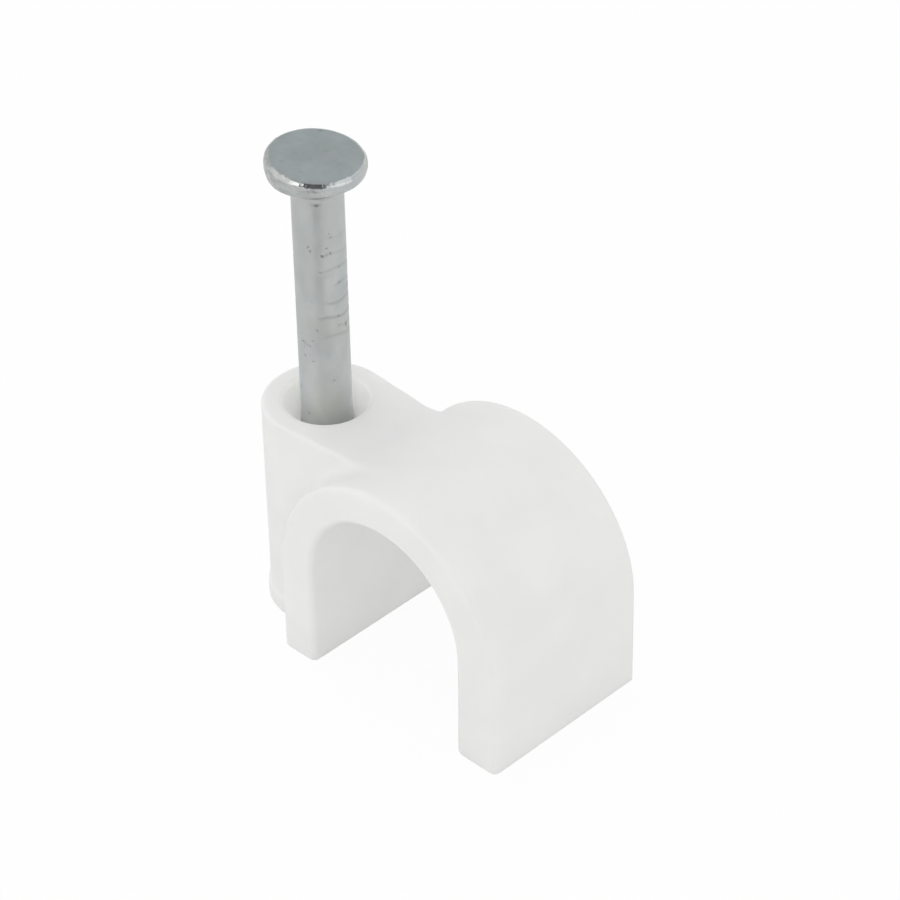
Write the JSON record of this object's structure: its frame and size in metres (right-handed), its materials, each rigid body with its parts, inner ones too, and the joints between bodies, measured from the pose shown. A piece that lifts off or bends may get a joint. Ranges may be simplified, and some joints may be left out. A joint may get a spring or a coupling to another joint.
{
  "type": "nail-in cable clip",
  "caption": "Moulded saddle clip that strides a round cable, with a boss on one leg that holds a steel nail upright, ready to be driven into the wall.",
  "frame": {"origin": "middle of the clip's box in X and Y, on the wall face under its feet", "axes": "+Z away from the wall, along the nail towards its head; +Y along the cable; +X across the cable, from the nail boss to the free leg"},
  "size_m": [0.0156, 0.008, 0.0208],
  "materials": {
    "clip_plastic": "white, moulded, satin",
    "nail_steel": "zinc plated, dull bright"
  },
  "bodies": {
    "clip": {"clip_body": "clip_plastic"},
    "nail": {"nail": "nail_steel"}
  },
  "joints": [
    {"name": "nail_drive", "type": "slide", "parent": "clip", "child": "nail", "axis": [0, 0, -1], "range_m": [0, 0.0101]}
  ]
}
